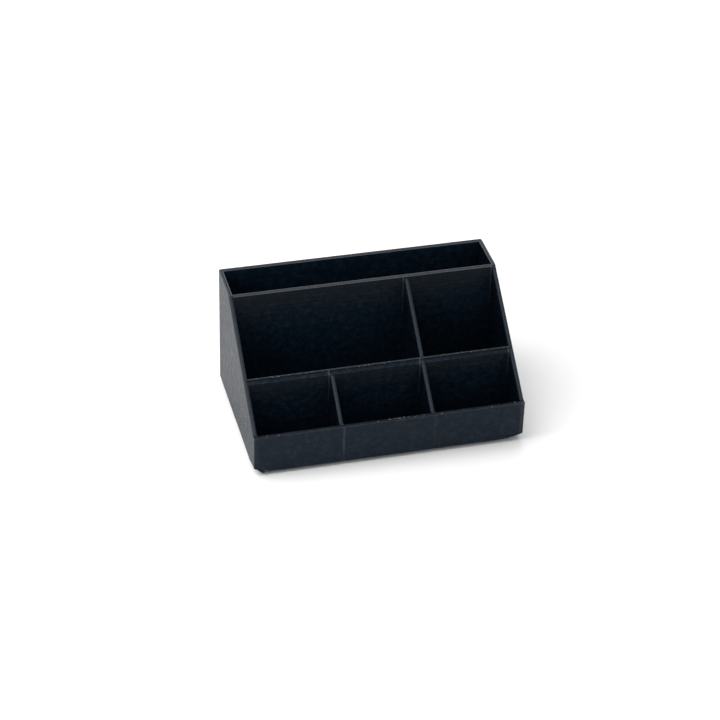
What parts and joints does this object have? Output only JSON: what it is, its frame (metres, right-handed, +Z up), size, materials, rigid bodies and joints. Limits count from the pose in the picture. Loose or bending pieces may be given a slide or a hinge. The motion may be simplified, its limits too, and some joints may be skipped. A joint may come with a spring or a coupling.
{
  "type": "paint rack organizer",
  "caption": "Small sloped open-top caddy: full-width rear slot, wide and narrow middle pockets behind a row of shallow front pockets, low front wall, stands flat.",
  "frame": {"origin": "centre of the footprint, on the plane that the caddy stands on", "axes": "+X to the right seen from the front, along the longest side; +Y from the low front wall to the rear wall; +Z up"},
  "size_m": [0.062, 0.038, 0.0296],
  "materials": {
    "black_print": "matt black printed plastic with fine level layer lines and a slightly shinier flat underside"
  },
  "bodies": {
    "root": {"floor_panel": "black_print", "rear_wall": "black_print", "left_side_wall": "black_print", "right_side_wall": "black_print", "slot_wall": "black_print", "middle_wall": "black_print", "front_wall": "black_print", "long_divider": "black_print", "short_divider": "black_print"}
  },
  "joints": []
}
